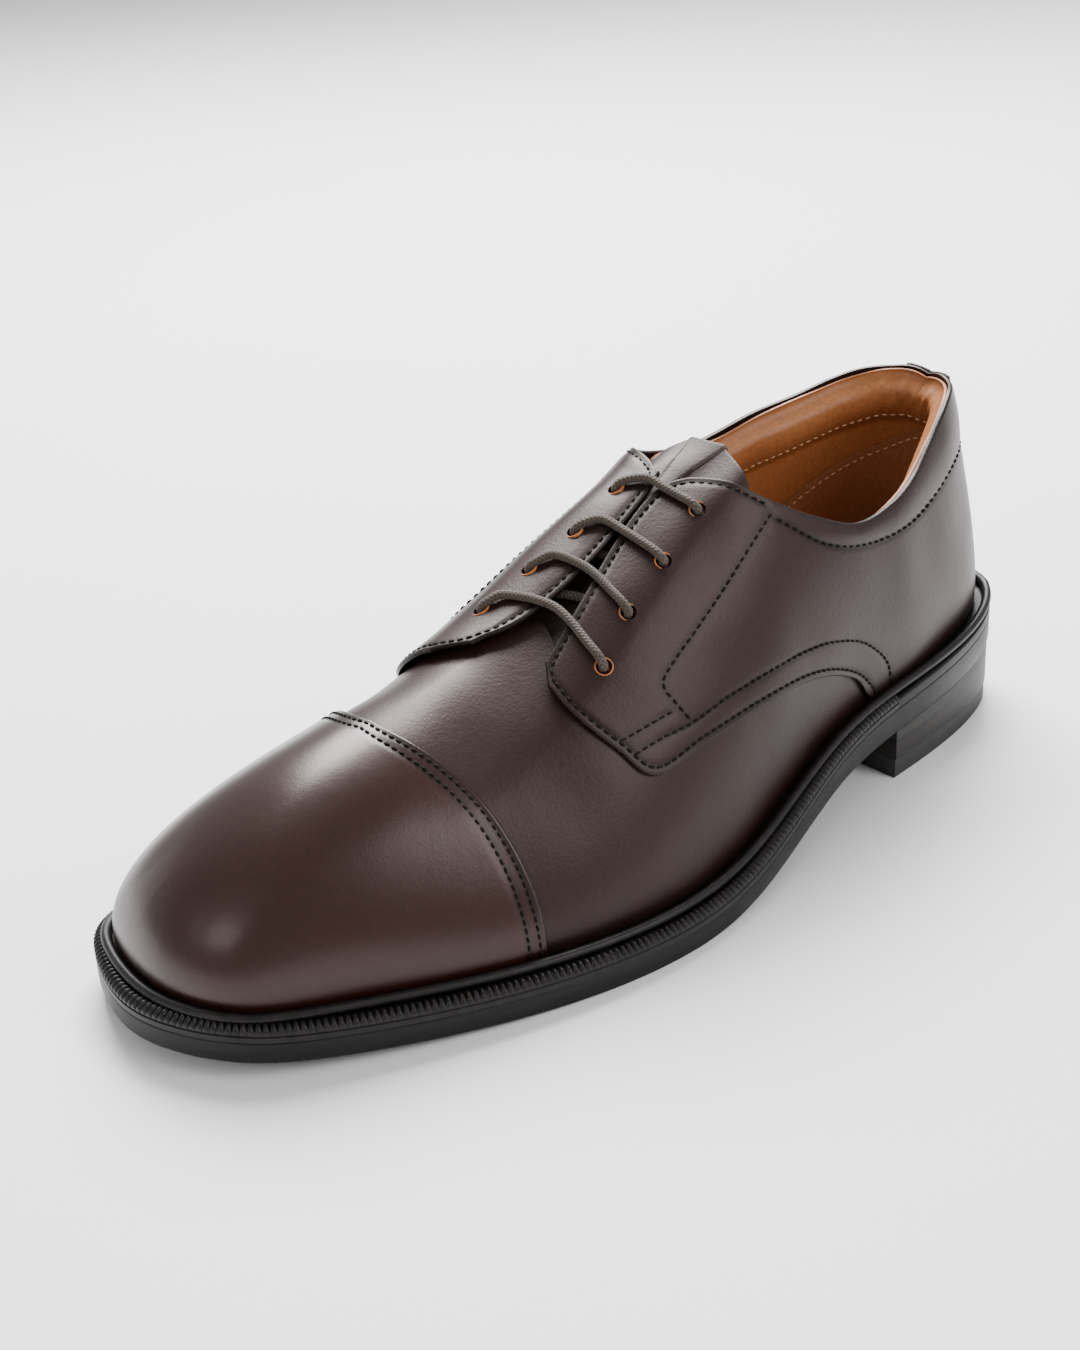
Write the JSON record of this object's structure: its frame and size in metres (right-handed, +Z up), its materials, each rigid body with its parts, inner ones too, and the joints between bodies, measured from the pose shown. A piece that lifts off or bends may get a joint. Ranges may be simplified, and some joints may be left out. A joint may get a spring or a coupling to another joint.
{
  "type": "derby shoe",
  "caption": "Dark brown leather cap-toe lace-up shoe for the left foot, open lacing with plain punched eyelets, stitched welt, flat leather sole and block heel.",
  "frame": {"origin": "centre of the bounding box seen from above, on the ground plane the shoe stands on", "axes": "-Y towards the toe, +Y towards the heel, +X towards the outer side of the foot, +Z up"},
  "size_m": [0.1191, 0.3027, 0.1042],
  "materials": {
    "sole_black": "smooth, waxed, slightly shiny",
    "welt_leather": "dark, ribbed edge, satin",
    "heel_stack": "stacked lifts, dark dressed edge, satin",
    "heel_rubber": "matt",
    "nail_steel": "bright",
    "cork": "granular cork",
    "shank_steel": "plain",
    "insole_leather": "plain vegetable tan",
    "foam": "open-cell foam",
    "upper_dark": "dark brown with a burgundy cast, polished",
    "stiffener": "stiffened board",
    "lining_tan": "cognac glazed lining leather",
    "grip_suede": "brown suede",
    "lace_cord": "round waxed cotton",
    "aglet_plastic": "shrunk film tip"
  },
  "bodies": {
    "rearfoot": {"outsole": "sole_black", "welt": "welt_leather", "heel_rand": "welt_leather", "welt_bead": "welt_leather", "heel_block": "heel_stack", "heel_top_piece": "heel_rubber", "heel_nails": "nail_steel", "cork_filler": "cork", "shank": "shank_steel", "insole_board": "insole_leather", "heel_pad": "foam", "sock_lining": "lining_tan", "vamp": "upper_dark", "quarter_lateral": "upper_dark", "quarter_medial": "upper_dark", "back_stay": "upper_dark", "collar_padding": "foam", "heel_counter": "stiffener", "lining_lateral": "lining_tan", "lining_medial": "lining_tan", "vamp_lining": "lining_tan", "heel_grip": "grip_suede", "lace": "lace_cord", "aglets": "aglet_plastic"},
    "forefoot": {"toe_cap": "upper_dark", "toe_puff": "stiffener"},
    "tongue": {"tongue": "upper_dark", "tongue_lining": "lining_tan"},
    "lateral_facing": {"facing_lateral": "lining_tan"},
    "medial_facing": {"facing_medial": "lining_tan"}
  },
  "joints": [
    {"name": "ball_flex", "type": "hinge", "parent": "rearfoot", "child": "forefoot", "pos_m": [0, -0.0537, 0.012], "axis": [-1, 0, 0], "range_deg": [0, 25], "stiffness_Nm_per_rad": 0.6, "deforming": ["outsole", "welt", "welt_bead", "cork_filler", "insole_board", "sock_lining", "vamp", "vamp_lining"]},
    {"name": "tongue_fold", "type": "hinge", "parent": "rearfoot", "child": "tongue", "pos_m": [0, -0.0297, 0.072], "axis": [-1, 0, 0], "range_deg": [0, 10], "stiffness_Nm_per_rad": 0.05},
    {"name": "lateral_facing_open", "type": "hinge", "parent": "rearfoot", "child": "lateral_facing", "pos_m": [0.026, 0.0123, 0.078], "axis": [-0.1269, 0.8191, 0.5594], "range_deg": [0, 18], "stiffness_Nm_per_rad": 0.08, "deforming": ["quarter_lateral", "lace", "aglets"]},
    {"name": "medial_facing_open", "type": "hinge", "parent": "rearfoot", "child": "medial_facing", "pos_m": [-0.024, 0.0123, 0.08], "axis": [-0.1269, -0.8191, -0.5594], "range_deg": [0, 18], "stiffness_Nm_per_rad": 0.08, "deforming": ["quarter_medial"]}
  ],
  "couplings": [
    {"joint": "medial_facing_open", "follows": "lateral_facing_open", "ratio": 1}
  ]
}
